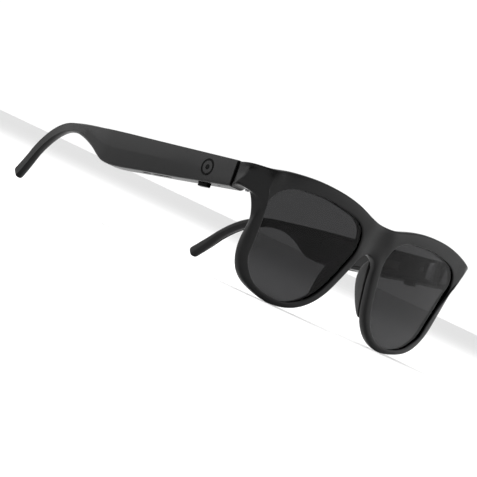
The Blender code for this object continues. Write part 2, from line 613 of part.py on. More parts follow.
class Temple:
    """One temple's pieces, all carried by an empty on the hinge's axis."""

    def __init__(self, label, side, root):
        self.label = label
        self.side = side
        self.origin = Vector((side * HINGE_X, HINGE_Y, HINGE_MIDDLE_Z))
        self.root = root
        self.pivot = add_empty("hinge_axis_" + label, root, self.origin)

    def at(self, x, y, z):
        """A place on this temple, from a place on the left one."""
        return Vector((self.side * x, y, z)) - self.origin

    def name(self, piece):
        return f"{piece}_{self.label}"

    def block(self, piece, size, centre, material, rotation=(0, 0, 0), rounding=0.0):
        return block(self.name(piece), size, material, self.pivot, self.at(*centre), rotation,
                     rounding)

    def disc(self, piece, radius, length, axis, centre, material, sides=20, bore=0.0):
        return disc(self.name(piece), radius, length, axis, material, self.pivot,
                    self.at(*centre), sides, bore)

    def plate(self, piece, outline, thickness, x, material, hole=None):
        moved = [[(y - self.origin.y, z - self.origin.z) for y, z in loop]
                 for loop in (outline, hole or [])]
        return side_plate(self.name(piece), moved[0], thickness, material, self.pivot,
                          self.side * x - self.origin.x, moved[1])

    def build(self):
        self.housing_and_cover()
        self.button()
        self.speaker()
        self.touch_mark()
        self.electronics()

    def housing_and_cover(self):
        self.housing = build_housing(self.name("temple_housing"), self.side, self.pivot,
                                     self.origin)
        bay_depth = BAY_OUTER_X - TEMPLE_INNER_X
        bay = self.plate("cut_bay", bay_outline(0.0), bay_depth + 1.0,
                         TEMPLE_INNER_X + bay_depth / 2 - 0.5, None)
        rebate_deep = COVER_THICK + SEAL_THICK + GAP
        rebate = self.plate("cut_rebate", bay_outline(COVER_LAP), rebate_deep + 1.0,
                            TEMPLE_INNER_X + rebate_deep / 2 - 0.5, None)
        cut(self.housing, bay, rebate)
        self.cover = self.plate("temple_cover", bay_outline(COVER_LAP - GAP), COVER_THICK,
                                TEMPLE_INNER_X + COVER_THICK / 2 - 0.05, "matte_black")
        seal_x = TEMPLE_INNER_X + COVER_THICK - 0.05 + GAP / 2 + SEAL_THICK / 2
        self.plate("cover_seal", bay_outline(COVER_LAP - GAP), SEAL_THICK - GAP / 2, seal_x,
                   "rubber", hole=bay_outline(0.1))

    def button(self):
        """A cap that slides in the underside, held in by its flange, below a small switch."""
        turn = (-math.atan(UNDERSIDE_DROP), 0, 0)
        wide, long = BUTTON_SIZE
        skin = underside_z(BUTTON_Y)
        ledge = skin + BUTTON_LEDGE
        bay_floor = bay_floor_z(BUTTON_Y)
        guide = self.block("cut_button_guide", (wide + 2 * GAP, long + 2 * GAP, 8.0),
                           (BAY_MIDDLE_X, BUTTON_Y, skin), None, turn)
        room = self.block("cut_button_room", (CELL_THICK + GAP, long + 2.4, 2.0),
                          (BAY_MIDDLE_X, BUTTON_Y, ledge + 1.0), None, turn)
        cut(self.housing, guide, room)
        flange_low = ledge + GAP
        top = flange_low + BUTTON_FLANGE / 2
        low = skin - BUTTON_PROUD
        cap = self.block("button", (wide, long, top - low),
                         (BAY_MIDDLE_X, BUTTON_Y, (top + low) / 2), "gloss_black", turn)
        flange = self.block("join_flange", (CELL_THICK - GAP, long + 1.4, BUTTON_FLANGE),
                            (BAY_MIDDLE_X, BUTTON_Y, top), None, turn)
        boolean(cap, "UNION", flange)
        switch_low = max(flange_low + BUTTON_FLANGE + BUTTON_TRAVEL + 0.1, bay_floor + 0.1)
        self.block("tact_switch", (CELL_THICK - GAP, 3.8, 1.4),
                   (BAY_MIDDLE_X, BUTTON_Y, switch_low + 0.7), "steel", turn, 0.2)

    def speaker(self):
        slope = (-math.atan(UNDERSIDE_DROP), 0, 0)
        for i, (start, end) in enumerate(SPEAKER_SLOTS):
            centre = (start + end) / 2
            slot = self.block(f"cut_slot_{i}", (SLOT_WIDTH, end - start, 6.0),
                              (BAY_MIDDLE_X, centre, underside_z(centre)), None, slope)
            cut(self.housing, slot)
        mesh_z = bay_floor_z(SPEAKER_Y) + GAP + MESH_THICK / 2
        self.block("speaker_mesh", (CELL_THICK, MESH_LENGTH, MESH_THICK),
                   (BAY_MIDDLE_X, SPEAKER_Y, mesh_z), "mesh_cloth", slope)
        low = bay_floor_z(SPEAKER_Y - DRIVER_LENGTH / 2) + MESH_THICK + 2 * GAP
        high = BAY_TOP - GAP
        self.block("speaker_driver", (CELL_THICK, DRIVER_LENGTH, high - low),
                   (BAY_MIDDLE_X, SPEAKER_Y, (high + low) / 2), "steel", rounding=0.8)

    def touch_mark(self):
        """A ring and a dot let into the outer face."""
        face_x = TEMPLE_OUTER_X
        groove = self.disc("cut_ring_groove", MARK_RADIUS + 0.15, 2 * MARK_DEEP, "x",
                           (face_x, MARK_Y, MARK_Z), None, 40, MARK_RADIUS - MARK_STROKE - 0.15)
        pit = self.disc("cut_dot_pit", DOT_RADIUS + 0.15, 2 * MARK_DEEP, "x",
                        (face_x, MARK_Y, MARK_Z), None, 20)
        cut(self.housing, groove, pit)
        inlay_x = face_x - MARK_DEEP / 2 - 0.05
        self.disc("touch_ring", MARK_RADIUS, MARK_DEEP - 0.2, "x", (inlay_x, MARK_Y, MARK_Z),
                  "gloss_black", 40, MARK_RADIUS - MARK_STROKE)
        self.disc("touch_dot", DOT_RADIUS, MARK_DEEP - 0.2, "x", (inlay_x, MARK_Y, MARK_Z),
                  "gloss_black", 20)

    def electronics(self):
        film_x = BAY_OUTER_X - GAP - 0.05
        self.disc("touch_sensor", SENSOR_RADIUS, 0.3, "x", (film_x, MARK_Y, MARK_Z + 0.2),
                  "copper_film", 24)
        self.block("antenna", ANTENNA_SIZE, (film_x, ANTENNA_Y, BAY_TOP - 2.6), "copper_film")
        self.block("main_board", BOARD_SIZE, (BAY_OUTER_X - 1.4, BOARD_Y, BAY_TOP - 1.9), "board")
        low = bay_floor_z(BATTERY_Y - BATTERY_LENGTH / 2) + GAP
        high = BAY_TOP - GAP
        self.block("battery", (CELL_THICK, BATTERY_LENGTH, high - low),
                   (BAY_MIDDLE_X, BATTERY_Y, (high + low) / 2), "battery_wrap", rounding=0.7)
        self.block("microphone", MICROPHONE_SIZE,
                   (BAY_MIDDLE_X, MICROPHONE_Y, bay_floor_z(MICROPHONE_Y) + 0.85), "steel",
                   rounding=0.15)
        cut(self.housing, self.disc("cut_microphone_port", MICROPHONE_PORT, 5.0, "z",
                                    (BAY_MIDDLE_X, MICROPHONE_Y, underside_z(MICROPHONE_Y)),
                                    None, 12))
        cut(self.cover, self.disc("cut_lamp_window", LAMP_RADIUS + GAP, 6.0, "x",
                                  (TEMPLE_INNER_X, *LAMP_PLACE), None, 16))
        self.disc("status_light", LAMP_RADIUS, LAMP_LENGTH, "x",
                  (TEMPLE_INNER_X + 1.1, *LAMP_PLACE), "light_guide", 16)
        window = (6.0, CONTACT_SIZE[1] + 2 * GAP, CONTACT_SIZE[2] + 2 * GAP)
        cut(self.cover, self.block("cut_contact_window", window,
                                   (TEMPLE_INNER_X, *CONTACT_PLACE), None))
        self.block("charging_contact", CONTACT_SIZE, (TEMPLE_INNER_X + 0.5, *CONTACT_PLACE),
                   "gold", rounding=0.3)


# Hinge

def hinge_axis(side, along):
    """A place on the leaning hinge axis, and the turn that lines a piece up with it."""
    lean = -side * HINGE_LEAN
    middle = Vector((side * HINGE_X, HINGE_Y, HINGE_MIDDLE_Z))
    return middle + Vector((math.sin(lean), 0, math.cos(lean))) * along, (0, lean, 0)


def hinge_leaf(name, side, parent, origin, direction, barrels):
    """A leaf on the inner face with its barrels; direction is -1 for the front's leaf, which
    lies ahead of the axis, and 1 for the temple's."""
    leaf_x = TEMPLE_INNER_X - GAP - LEAF_THICK / 2
    leaf_mid = HINGE_Y + direction * (LEAF_FROM_AXIS + LEAF_LENGTH / 2)
    place = Vector((side * leaf_x, leaf_mid, HINGE_MIDDLE_Z)) - origin
    leaf = block(name, (LEAF_THICK, LEAF_LENGTH, HINGE_STACK), "steel", parent, place)
    for i, (along, length) in enumerate(barrels):
        centre, turn = hinge_axis(side, along)
        barrel = disc(f"join_{name}_barrel_{i}", BARREL_RADIUS, length, "z", None, parent,
                      centre - origin)
        barrel.rotation_euler = turn
        web_place = Vector((side * leaf_x, HINGE_Y + direction * LEAF_WEB / 2, centre.z))
        web = block(f"join_{name}_web_{i}", (LEAF_THICK, LEAF_WEB, length), None, parent,
                    web_place - origin)
        boolean(leaf, "UNION", barrel, web)
    centre, turn = hinge_axis(side, 0.0)
    bore = disc(f"cut_{name}_bore", BARREL_BORE, 20.0, "z", None, parent, centre - origin)
    bore.rotation_euler = turn
    hole = disc(f"cut_{name}_hole", LEAF_SCREW_RADIUS + 0.25, 8.0, "x", None, parent, place, 16)
    cut(leaf, bore, hole)
    return leaf


def leaf_screw(name, side, parent, origin, direction, wall):
    """A screw through a leaf into the wall behind it."""
    y = HINGE_Y + direction * (LEAF_FROM_AXIS + LEAF_LENGTH / 2)
    head_x = TEMPLE_INNER_X - GAP - LEAF_THICK - GAP / 2
    head = Vector((side * (head_x - 0.25), y, HINGE_MIDDLE_Z)) - origin
    screw = disc(name, 1.1, 0.5, "x", "steel", parent, head, 16)
    shank = Vector((side * (head_x - 0.25 + LEAF_SCREW_LENGTH / 2), y, HINGE_MIDDLE_Z)) - origin
    boolean(screw, "UNION", disc(f"join_{name}_shank", LEAF_SCREW_RADIUS, LEAF_SCREW_LENGTH, "x",
                                 None, parent, shank, 12))
    hole = Vector((side * (TEMPLE_INNER_X + 0.4), y, HINGE_MIDDLE_Z)) - origin
    cut(wall, disc(f"cut_{name}_hole", LEAF_SCREW_RADIUS + 0.3, 3.2, "x", None, parent, hole, 12))
    return screw


def build_hinge(temple, front, root):
    side, label = temple.side, temple.label
    here = Vector((0, 0, 0))
    offset = MIDDLE_BARREL / 2 + GAP + SIDE_BARREL / 2
    hinge_leaf(f"hinge_front_leaf_{label}", side, root, here, -1, [(0.0, MIDDLE_BARREL)])
    hinge_leaf(f"hinge_temple_leaf_{label}", side, temple.pivot, temple.origin, 1,
               [(-offset, SIDE_BARREL), (offset, SIDE_BARREL)])
    leaf_screw(f"hinge_front_screw_{label}", side, root, here, -1, front)
    leaf_screw(f"hinge_temple_screw_{label}", side, temple.pivot, temple.origin, 1,
               temple.housing)
    middle, turn = hinge_axis(side, 0.0)
    pin = disc(f"hinge_pin_{label}", PIN_RADIUS, HINGE_STACK + 4 * GAP, "z", "steel", root, middle,
               16)
    pin.rotation_euler = turn
    place, turn = hinge_axis(side, HINGE_STACK / 2 + GAP + PIN_HEAD_THICK / 2)
    head = disc(f"join_hinge_pin_head_{label}", PIN_HEAD_RADIUS, PIN_HEAD_THICK, "z", None, root,
                place, 16)
    head.rotation_euler = turn
    boolean(pin, "UNION", head)


def stand_at_origin(root):
    """Put the middle of the bounding box's base at the origin."""
    bpy.context.view_layer.update()
    graph = bpy.context.evaluated_depsgraph_get()
    corners = []
    for obj in PARTS.objects:
        if obj.type == "MESH":
            solid = obj.evaluated_get(graph)
            mesh = solid.to_mesh()
            corners += [solid.matrix_world @ vert.co for vert in mesh.vertices]
            solid.to_mesh_clear()
    low = Vector([min(axis) for axis in zip(*corners)])
    high = Vector([max(axis) for axis in zip(*corners)])
    root.location = Vector((-(low.x + high.x) / 2, -(low.y + high.y) / 2, -low.z))


def main():
    root = add_empty("glasses", None, (0, 0, 0))
    front = build_front(root)
    for label, side in (("right", -1), ("left", 1)):
        build_lens(f"lens_{label}", side, root)
        build_nose_pad(f"nose_pad_{label}", side, root)
        temple = Temple(label, side, root)
        temple.build()
        build_hinge(temple, front, root)
    root.rotation_euler = (-PITCH, 0, 0)
    stand_at_origin(root)


main()
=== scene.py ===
"""Looks of the smart glasses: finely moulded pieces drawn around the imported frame.

Shapes are drawn in millimetres with the glasses level, temples along +Y and the front facing -Y,
then set into the row's frame by to_row. Side +1 is the wearer's left.
"""
import json
import math

import bmesh
import bpy
import numpy as np
from mathutils import Euler, Matrix, Vector


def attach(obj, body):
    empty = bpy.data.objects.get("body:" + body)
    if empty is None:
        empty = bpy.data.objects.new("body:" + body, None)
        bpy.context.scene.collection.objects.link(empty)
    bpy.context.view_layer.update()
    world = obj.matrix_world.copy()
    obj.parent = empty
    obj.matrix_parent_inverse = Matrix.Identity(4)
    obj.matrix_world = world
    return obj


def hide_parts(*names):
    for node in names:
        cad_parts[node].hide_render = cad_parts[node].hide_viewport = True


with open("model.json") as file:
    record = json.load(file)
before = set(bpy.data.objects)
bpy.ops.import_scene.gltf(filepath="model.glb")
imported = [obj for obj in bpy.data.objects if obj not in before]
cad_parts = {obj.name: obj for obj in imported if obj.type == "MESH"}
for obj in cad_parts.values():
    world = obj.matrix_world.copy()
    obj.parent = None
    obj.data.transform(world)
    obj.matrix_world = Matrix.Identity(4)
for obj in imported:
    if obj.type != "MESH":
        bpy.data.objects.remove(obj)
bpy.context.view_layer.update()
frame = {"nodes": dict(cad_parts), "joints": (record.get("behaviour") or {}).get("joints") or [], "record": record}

MM = 0.001
SIDES = (("right", -1), ("left", 1))
NODES = frame["nodes"]
GAP = 0.3

# How the level drawing stands in the row's frame
HINGE_X, HINGE_Y, HINGE_Z = 59.6, 12.8, 41.0
HINGE_LEAN = math.radians(5.0)
HINGE_JOINT = [j for j in frame["joints"] if j["name"] == "temple_left_fold"][0]
PITCH = math.atan2(HINGE_JOINT["axis"][1], HINGE_JOINT["axis"][2])
TURN = Matrix.Rotation(-PITCH, 4, "X")
SHIFT = Vector(HINGE_JOINT["pos_m"]) - TURN @ (Vector((HINGE_X, HINGE_Y, HINGE_Z)) * MM)
TO_ROW = Matrix.Translation(SHIFT) @ TURN @ Matrix.Scale(MM, 4)

# Front
FRONT_DEPTH = 4.2
REAR_INSET = 0.4
WRAP, WRAP_AT = 7.0, 60.0
TILT, TILT_FROM = math.tan(math.radians(11.4)), 7.0
OPENING = [(8.8, 34.0), (10.3, 38.9), (13.8, 42.1), (19.0, 43.8), (26.0, 44.6), (33.5, 45.2),
           (41.0, 44.8), (48.0, 44.0), (53.3, 42.2), (57.0, 38.8), (58.2, 34.0), (57.0, 28.5),
           (56.2, 23.0), (55.4, 17.5), (54.6, 12.6), (51.4, 8.2), (47.2, 4.8), (41.5, 2.8),
           (35.5, 2.1), (29.3, 2.5), (23.8, 4.6), (19.2, 8.2), (15.6, 13.2), (12.8, 19.3),
           (10.7, 25.0), (9.2, 29.6)]
OUTLINE = [(4.6, 38.0), (5.0, 45.6), (10.5, 46.9), (17.0, 48.6), (25.0, 49.9), (33.5, 50.5),
           (42.0, 50.5), (50.3, 49.8), (57.4, 48.7), (63.0, 47.3), (63.0, 39.8), (61.2, 34.2),
           (60.5, 27.6), (60.1, 21.2), (59.2, 14.2), (56.0, 7.7), (50.5, 3.3), (43.0, 0.8),
           (35.4, -0.4), (28.2, 0.2), (21.9, 2.4), (16.7, 6.1), (12.4, 11.4), (9.2, 18.2),
           (6.6, 24.8), (4.4, 30.2)]
BRIDGE_TOP, BRIDGE_MIDDLE, BRIDGE_BOTTOM = 45.5, 39.0, 33.4
BRIDGE_SET_BACK, BRIDGE_SIDE_SET_BACK = 1.4, 0.56
BRIDGE_SIDE, BRIDGE_UPPER, BRIDGE_LOWER = 0, 1, 25
END_UPPER, END_MIDDLE, END_LOWER = 9, 10, 11
EDGE_ROUND = 0.75         # radius of the rims' outer front edges
REAR_EDGE_ROUND = 0.6     # and of their outer rear edges
LIP_ROUND = 0.3           # radius of the edges of the lens opening
BEND_CREASE = 0.62        # how tight the end piece's two bends are
LIP_CREASE = 0.35         # the edges of the lens opening
SEAM_CREASE = 0.9         # and the edges of the seam
SMOOTHING = 3             # subdivision levels of the front and the nose pads
GROOVE_FRONT, GROOVE_BACK, GROOVE_DEEP = 0.6, 2.7, 1.2
LENS_THICK, LENS_EDGE_ROUND = 1.5, 0.2
LENS_POINTS, LENS_RINGS = 156, 14         # points round a lens, and rings out to its rim

# End piece and temple
OUTER_X, TEMPLE_THICK = 69.7, 7.5
INNER_X = OUTER_X - TEMPLE_THICK
SEAM_Y, SEAM_GAP = 12.55, 0.5
CORNER_X, REAR_END_X = 69.1, 63.4
CORNER_YS, CORNER_HEIGHTS = (5.4, 6.6, 8.0), (46.9, 41.4, 37.0)
SEAM_HEIGHTS = (46.3, 41.0, 35.8)
REAR_CORNER_X, REAR_CORNER_BACK = INNER_X + 0.3, 2.2
CORNER_STEP, REAR_SEAM_STEP = 0.7, 0.4    # what share of its inset a row steps in there
TEMPLE_TOP = [(SEAM_Y + SEAM_GAP, 46.4), (30, 46.5), (50, 46.6), (66, 46.7), (78, 46.8), (83, 46.8),
              (87.5, 46.8), (91.5, 46.8), (95.5, 46.8), (100, 46.9), (104.5, 46.9), (110.5, 46.8),
              (116.5, 46.5), (122.3, 45.7), (127.7, 44.1), (132.7, 41.8), (137.5, 38.5),
              (142.0, 34.4), (146.0, 30.2), (149.7, 26.5), (152.4, 23.8)]
TEMPLE_BOTTOM = [(SEAM_Y + SEAM_GAP, 35.8), (30, 35.0), (50, 34.0), (66, 33.3), (78, 32.7),
                 (84.5, 32.7), (90.0, 33.5), (93.8, 35.2), (97.9, 37.5), (102.3, 39.5),
                 (106.7, 41.1), (111.8, 42.3), (116.6, 42.5), (121.4, 42.0), (126.0, 40.6),
                 (130.4, 38.5), (135.0, 35.4), (139.6, 31.4), (143.3, 26.6), (146.5, 22.7),
                 (149.0, 20.0)]
HOOK_THICK = 4.0
HOOK_NARROWS = (86.0, 116.0)
HOOK_ROUND = 0.86         # its corners, as a share of the largest that fit
HOOK_BENDS_FROM, HOOK_SLOPE, HOOK_EASE = 111.0, 0.25, 6.0
TIP_CAP = 1.9             # length of the hook's rounded end
TIP_ANGLES = (18, 36, 54, 70, 82)
LOWER_FACET_LEAN, LEAN_BEGINS = 0.9, (14.0, 46.0)
CREASE_HEIGHT, CREASE_BEGINS = 0.49, (40.0, 56.0)
CREASE_SOFT, CREASE_TIGHT = 1.65, 0.25    # half its width where it begins and where it is clear
TEMPLE_CORNER = 0.9
SPLITS = 6                # rows drawn between two of the temple's stations
CORNER_STEPS = 6          # facets in each rounded corner of its section

# Electronics bay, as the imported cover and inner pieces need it
WALL, COVER_LAP, COVER_THICK, SEAL_THICK, OUTER_WALL = 1.3, 0.8, 1.0, 0.4, 1.1
BAY_FRONT, BAY_REAR = 19.8, 83.0
BAY_OUTER_X = OUTER_X - LOWER_FACET_LEAN - OUTER_WALL
BAY_INNER_X = INNER_X + COVER_THICK + SEAL_THICK + 2 * GAP
BAY_MIDDLE_X = (BAY_INNER_X + BAY_OUTER_X) / 2
CELL_THICK = BAY_OUTER_X - BAY_INNER_X - GAP
BAY_TOP = TEMPLE_TOP[0][1] - WALL - COVER_LAP
UNDERSIDE_DROP = (35.8 - 32.7) / (78.0 - 13.2)
SLOPE = -math.atan(UNDERSIDE_DROP)
SPEAKER_SLOTS = ((49.2, 60.2), (61.6, 66.6))
SLOT_WIDTH = 1.6
MICROPHONE_Y, MICROPHONE_PORT = 22.2, 0.6

BUTTON_Y, BUTTON_SIZE, BUTTON_PROUD = 30.2, (2.2, 5.4), 1.5
BUTTON_LEDGE, BUTTON_FLANGE = 1.0, 0.6
MARK_Y, MARK_Z = 28.0, 40.9
MARK_RADIUS, MARK_STROKE, MARK_DEEP, DOT_RADIUS = 3.3, 0.6, 0.5, 0.9
MARK_ROOM = 0.15          # gap round the ring and the dot

# Hinge
BARREL_RADIUS, BARREL_BORE = 1.75, 1.05
PIN_RADIUS, PIN_HEAD_RADIUS, PIN_HEAD_THICK = 0.75, 1.3, 0.7
MIDDLE_BARREL, SIDE_BARREL = 3.6, 1.7
HINGE_STACK = MIDDLE_BARREL + 2 * SIDE_BARREL + 2 * GAP
LEAF_THICK, LEAF_LENGTH, LEAF_FROM_AXIS, LEAF_WEB = 0.9, 4.2, 2.1, 2.6
LEAF_MIDDLE = LEAF_FROM_AXIS + LEAF_LENGTH / 2     # from the axis to the screw
SCREW_RADIUS, SCREW_LENGTH, SCREW_HEAD_RADIUS, SCREW_HEAD_THICK = 0.6, 2.4, 1.1, 0.5
SCREW_HOLE_DEEP, SCREW_HOLE_X = 3.2, INNER_X + 0.4

# Nose pad: place along the outline, height behind the rim, flare away from the nose
PAD_STATIONS = [(25.3, 0.4, 0.0), (24.8, 4.6, 0.5), (24.0, 7.4, 1.3), (23.1, 6.6, 1.8),
                (22.2, 3.8, 1.4), (21.4, 0.9, 0.6)]
PAD_NASAL_IN, PAD_LENS_IN = 0.08, 0.18    # how far its foot keeps inside the rim, as shares
PAD_CREASE = 0.8

# Camera, in the level drawing: direction toward it, distance, and what it looks at
CAMERA_AZIMUTH, CAMERA_HEIGHT, CAMERA_ROLL = (math.radians(a) for a in (-47.014, -4.267, 19.833))
CAMERA_DISTANCE = 1054.2
CAMERA_LENS, CAMERA_CLIP = 199.9, 100.0
LOOK_FROM = Vector((0, 0, 7))
AIM_RIGHT, AIM_UP = -0.03865, 0.02857     # tangents from that point to the middle of the picture
# The studio's brightness against the cosine of the angle from the camera's direction
WORLD_SHADES = ((0.0, 1.0), (0.3, 1.0), (0.58, 0.02), (0.84, 0.02), (0.97, 0.5), (1.0, 0.5))
WORLD_STRENGTH = 1.05


def smoothstep(low, high, value):
    t = min(max((value - low) / (high - low), 0.0), 1.0)
    return t * t * (3 - 2 * t)


def mix(a, b, t):
    return a + (b - a) * t


def front_y(x, z):
    return WRAP * (x / WRAP_AT) ** 2 - TILT * (z - TILT_FROM)


def underside_z(y):
    return TEMPLE_BOTTOM[0][1] - UNDERSIDE_DROP * (y - TEMPLE_BOTTOM[0][0])


# Materials

class Shading:
    """A material under construction: a Principled shader and the nodes that feed it."""

    def __init__(self, name, colour, roughness, metallic=0.0, specular=0.5):
        self.material = bpy.data.materials.new(name)
        self.material.use_nodes = True
        self.nodes = self.material.node_tree.nodes
        self.links = self.material.node_tree.links
        self.shader = self.nodes["Principled BSDF"]
        self.set("Base Color", (*colour, 1.0))
        self.set("Roughness", roughness)
        self.set("Metallic", metallic)
        self.set("Specular IOR Level", specular)
        self.place = self.nodes.new("ShaderNodeTexCoord").outputs["Object"]

    def set(self, socket, value):
        self.shader.inputs[socket].default_value = value

    def noise(self, scale, detail=3.0, roughness=0.55):
        node = self.nodes.new("ShaderNodeTexNoise")
        node.inputs["Scale"].default_value = scale
        node.inputs["Detail"].default_value = detail
        node.inputs["Roughness"].default_value = roughness
        self.links.new(self.place, node.inputs["Vector"])
        return node.outputs["Fac"]

    def spread(self, value, low, high, socket):
        """Drive a shader socket with a value spread between two numbers."""
        node = self.nodes.new("ShaderNodeMapRange")
        node.inputs["To Min"].default_value = low
        node.inputs["To Max"].default_value = high
        self.links.new(value, node.inputs["Value"])
        self.links.new(node.outputs["Result"], self.shader.inputs[socket])

    def tint(self, value, dark, light):
        """Drive the base colour between two colours."""
        ramp = self.nodes.new("ShaderNodeValToRGB")
        ramp.color_ramp.elements[0].color = (*dark, 1.0)
        ramp.color_ramp.elements[1].color = (*light, 1.0)
        ramp.color_ramp.elements[0].position = 0.3
        ramp.color_ramp.elements[1].position = 0.7
        self.links.new(value, ramp.inputs["Fac"])
        self.links.new(ramp.outputs["Color"], self.shader.inputs["Base Color"])

    def bump(self, value, height, strength=1.0):
        node = self.nodes.new("ShaderNodeBump")
        node.inputs["Distance"].default_value = height
        node.inputs["Strength"].default_value = strength
        self.links.new(value, node.inputs["Height"])
        self.links.new(node.outputs["Normal"], self.shader.inputs["Normal"])


def satin_plastic():
    """Moulded nylon with a fine matte grain."""
    look = Shading("satin_black_nylon", (0.0045, 0.0045, 0.0047), 0.34, specular=0.17)
    grain = look.noise(9000.0, 2.0)
    look.bump(grain, 0.000012, 0.35)
    mottle = look.noise(260.0, 3.0)
    look.spread(mottle, 0.31, 0.37, "Roughness")
    look.tint(mottle, (0.0040, 0.0040, 0.0042), (0.0050, 0.0050, 0.0052))
    return look.material


def gloss_plastic():
    look = Shading("gloss_black", (0.002, 0.002, 0.002), 0.25, specular=0.03)
    look.spread(look.noise(700.0), 0.2, 0.3, "Roughness")
    return look.material


def lens_glass():
    """Dark neutral glass that lets a little light through, with an anti-reflective face."""
    look = Shading("tinted_lens", (0.037, 0.037, 0.038), 0.0)
    look.set("Transmission Weight", 1.0)
    look.set("IOR", 1.17)
    look.tint(look.noise(18.0), (0.036, 0.036, 0.037), (0.038, 0.038, 0.039))
    return look.material


def soft_rubber():
    look = Shading("soft_black_rubber", (0.012, 0.012, 0.012), 0.6, specular=0.4)
    look.bump(look.noise(5000.0), 0.00002, 0.4)
    look.spread(look.noise(300.0), 0.54, 0.66, "Roughness")
    return look.material


def brushed_metal(name, colour, roughness):
    """Metal with fine lines along its length."""
    look = Shading(name, colour, roughness, metallic=1.0)
    stretch = look.nodes.new("ShaderNodeMapping")
    stretch.inputs["Scale"].default_value = (1.0, 0.04, 1.0)
    look.links.new(look.place, stretch.inputs["Vector"])
    look.place = stretch.outputs["Vector"]
    lines = look.noise(9000.0, 2.0)
    look.spread(lines, roughness - 0.06, roughness + 0.08, "Roughness")
    look.bump(lines, 0.000006, 0.5)
    return look.material


def circuit_board():
    look = Shading("circuit_board", (0.01, 0.09, 0.05), 0.45)
    look.tint(look.noise(1400.0, 1.0), (0.006, 0.06, 0.033), (0.02, 0.13, 0.07))
    return look.material


def foil_wrap():
    look = Shading("battery_foil", (0.3, 0.31, 0.34), 0.38, metallic=0.6)
    look.bump(look.noise(900.0), 0.00004, 0.6)
    look.spread(look.noise(300.0), 0.3, 0.46, "Roughness")
    return look.material


def speaker_cloth():
    """Fine woven mesh."""
    look = Shading("speaker_mesh", (0.012, 0.012, 0.012), 0.7)
    weave = look.nodes.new("ShaderNodeTexWave")
    weave.inputs["Scale"].default_value = 900.0
    look.links.new(look.place, weave.inputs["Vector"])
    look.bump(weave.outputs["Fac"], 0.00008, 0.8)
    look.tint(weave.outputs["Fac"], (0.004, 0.004, 0.004), (0.03, 0.03, 0.03))
    return look.material


def light_guide():
    look = Shading("light_guide", (0.75, 0.78, 0.8), 0.25)
    look.set("Transmission Weight", 0.5)
    look.spread(look.noise(500.0), 0.2, 0.32, "Roughness")
    return look.material


LOOKS = {
    "matte_black": satin_plastic(),
    "tinted_lens": lens_glass(),
    "steel": brushed_metal("brushed_steel", (0.42, 0.42, 0.43), 0.3),
    "gloss_black": gloss_plastic(),
    "rubber": soft_rubber(),
    "battery_wrap": foil_wrap(),
    "board": circuit_board(),
    "gold": brushed_metal("contact_plate", (0.07, 0.065, 0.06), 0.3),
    "copper_film": brushed_metal("copper_film", (0.6, 0.3, 0.12), 0.36),
    "mesh_cloth": speaker_cloth(),
    "light_guide": light_guide(),
}


# Mesh helpers: every bmesh is drawn in millimetres in the level drawing

def new_object(name, bm):
    bmesh.ops.recalc_face_normals(bm, faces=bm.faces)
    mesh = bpy.data.meshes.new(name)
    bm.to_mesh(mesh)
    bm.free()
    obj = bpy.data.objects.new(name, mesh)
    bpy.context.scene.collection.objects.link(obj)
    return obj


def settle(obj, sharp=32.0):
    """Apply the modifiers, take the mesh to the row's frame and shade it smooth."""
    bpy.context.view_layer.update()
    graph = bpy.context.evaluated_depsgraph_get()
    mesh = bpy.data.meshes.new_from_object(obj.evaluated_get(graph))
    obj.modifiers.clear()
    obj.data = mesh
    mesh.transform(TO_ROW)
    mesh.polygons.foreach_set("use_smooth", [True] * len(mesh.polygons))
    mesh.set_sharp_from_angle(angle=math.radians(sharp))
    return obj


def finish_piece(obj, slot, body, replaced=()):
    obj.data.materials.clear()
    obj.data.materials.append(LOOKS[slot])
    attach(obj, body)
    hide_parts(*replaced)


def remove(*tools):
    for tool in tools:
        bpy.data.objects.remove(tool, do_unlink=True)


def combine(obj, operation, *tools):
    """Join tools to an object or cut them from it, then drop them."""
    for tool in tools:
        modifier = obj.modifiers.new(tool.name, "BOOLEAN")
        modifier.operation = operation
        modifier.object = tool
        modifier.solver = "EXACT"
    bpy.context.view_layer.update()
    graph = bpy.context.evaluated_depsgraph_get()
    mesh = bpy.data.meshes.new_from_object(obj.evaluated_get(graph))
    obj.modifiers.clear()
    obj.data = mesh
    remove(*tools)
    return obj


def placed(bm, centre, rotation=(0, 0, 0)):
    matrix = Matrix.Translation(centre) @ Euler(rotation).to_matrix().to_4x4()
    bmesh.ops.transform(bm, matrix=matrix, verts=bm.verts)
    return bm


def box_tool(name, size, centre, rotation=(0, 0, 0), rounding=0.0):
    bm = bmesh.new()
    bmesh.ops.create_cube(bm, size=1.0)
    bmesh.ops.scale(bm, vec=size, verts=bm.verts)
    if rounding:
        bmesh.ops.bevel(bm, geom=bm.edges[:], offset=rounding, segments=3, profile=0.5,
                        affect="EDGES")
    return new_object(name, placed(bm, centre, rotation))


ALONG_X = (0, math.pi / 2, 0)


def turned(name, profile, centre, rotation=(0, 0, 0), steps=64):
    """A closed (radius, height) profile turned about Z, then put in place."""
    bm = bmesh.new()
    corners = [bm.verts.new((radius, 0, height)) for radius, height in profile]
    edges = [bm.edges.new((corners[i - 1], corners[i])) for i in range(len(corners))]
    bmesh.ops.spin(bm, geom=corners + edges, cent=(0, 0, 0), axis=(0, 0, 1), angle=2 * math.pi,
                   steps=steps)
    bmesh.ops.remove_doubles(bm, verts=bm.verts, dist=0.0005)
    return new_object(name, placed(bm, centre, rotation))


